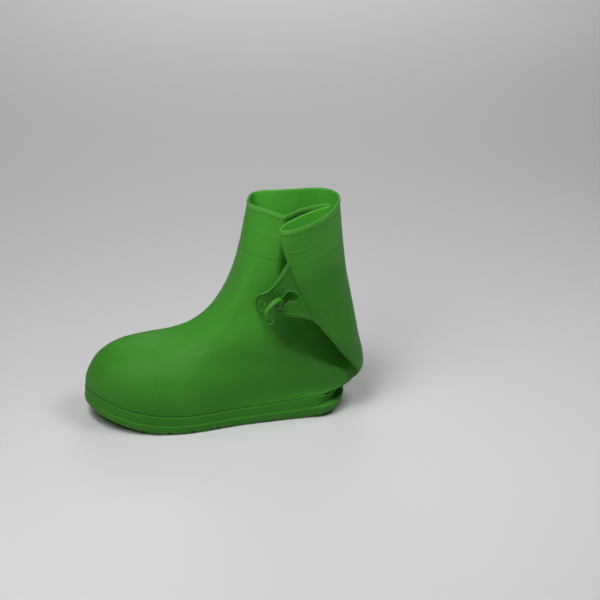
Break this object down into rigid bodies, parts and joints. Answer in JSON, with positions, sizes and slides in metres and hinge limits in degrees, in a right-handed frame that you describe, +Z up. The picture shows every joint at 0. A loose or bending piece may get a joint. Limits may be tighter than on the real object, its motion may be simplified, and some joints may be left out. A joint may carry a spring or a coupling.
{
  "type": "overshoe",
  "caption": "Moulded green rubber overshoe for the left foot, with a high shaft folded at the outer side, a keyhole strap held by a rubber button, and a cleated sole with a heel ledge.",
  "frame": {"origin": "on the ground under the middle of the overshoe's bounding box", "axes": "+X from toe to heel, -Y to the outer side that carries the strap, +Z up"},
  "size_m": [0.3266, 0.133, 0.2546],
  "materials": {
    "upper_rubber": "satin",
    "sole_rubber": "satin"
  },
  "bodies": {
    "root": {"upper": "upper_rubber", "outsole": "sole_rubber", "closure_strap": "upper_rubber", "button": "upper_rubber"}
  },
  "joints": []
}
